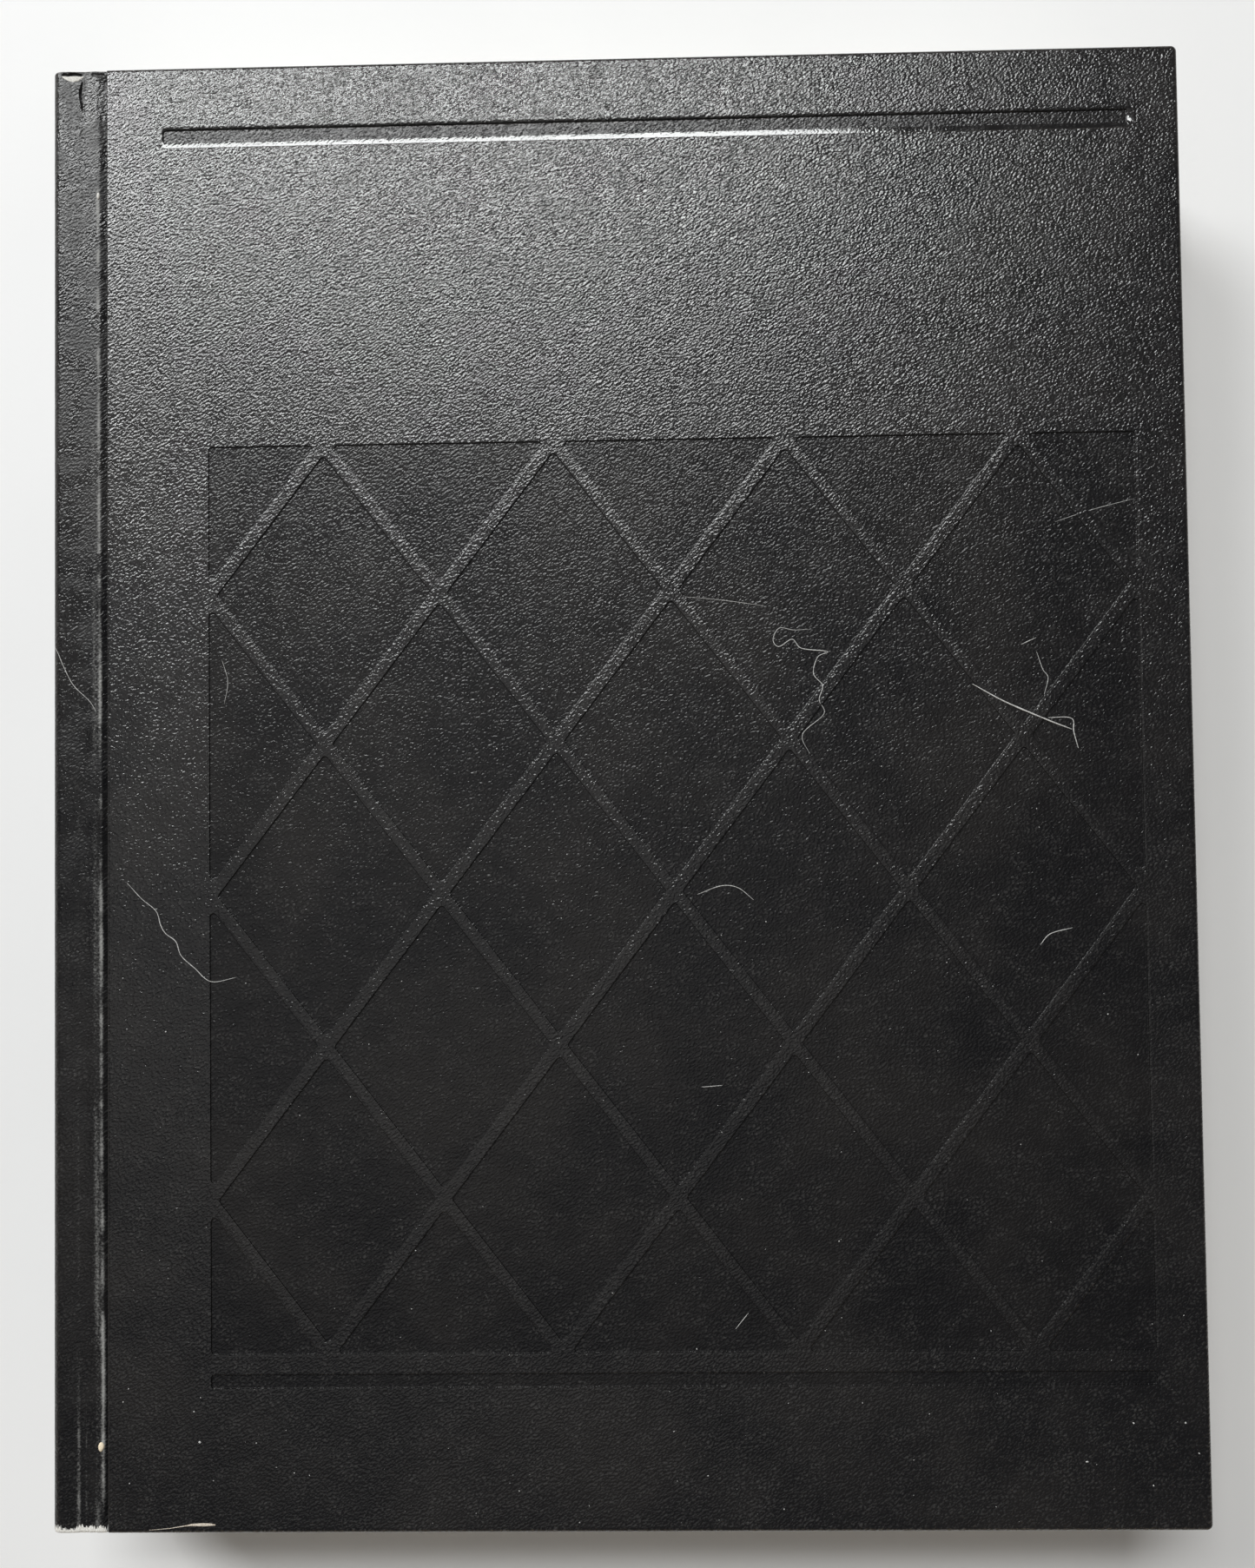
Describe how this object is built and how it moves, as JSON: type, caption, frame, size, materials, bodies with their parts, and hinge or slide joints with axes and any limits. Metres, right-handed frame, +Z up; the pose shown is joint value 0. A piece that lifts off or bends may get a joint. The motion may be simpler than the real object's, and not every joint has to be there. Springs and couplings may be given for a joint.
{
  "type": "hardcover book",
  "caption": "Closed hardcover book with a flat spine, black leather-grain covers that open on creased joints, and a front cover stamped with plain rules and a lozenge lattice.",
  "frame": {"origin": "under the middle of the closed book, on the surface that its back cover lies on", "axes": "+X from the spine to the fore edge, +Y from the tail to the head, +Z up out of the front cover"},
  "size_m": [0.222, 0.286, 0.036],
  "materials": {
    "covering": "satin, leather-grained paper",
    "board": "matte grey board",
    "pages": "matte",
    "endpaper": "matte",
    "lining": "open-weave mull under paper",
    "band": "woven thread"
  },
  "bodies": {
    "text_block": {"page_block": "pages", "front_flyleaf": "endpaper", "back_flyleaf": "endpaper", "spine_lining": "lining", "head_band": "band", "tail_band": "band", "spine_board": "board", "spine_covering": "covering"},
    "front_cover": {"front_board": "board", "front_covering": "covering", "front_pastedown": "endpaper"},
    "back_cover": {"back_board": "board", "back_covering": "covering", "back_pastedown": "endpaper"}
  },
  "joints": [
    {"name": "front_cover_hinge", "type": "hinge", "parent": "text_block", "child": "front_cover", "pos_m": [-0.10735, 0, 0.03575], "axis": [0, -1, 0], "range_deg": [0, 180]},
    {"name": "back_cover_hinge", "type": "hinge", "parent": "text_block", "child": "back_cover", "pos_m": [-0.10735, 0, 0.00025], "axis": [0, 1, 0], "range_deg": [0, 180]}
  ]
}
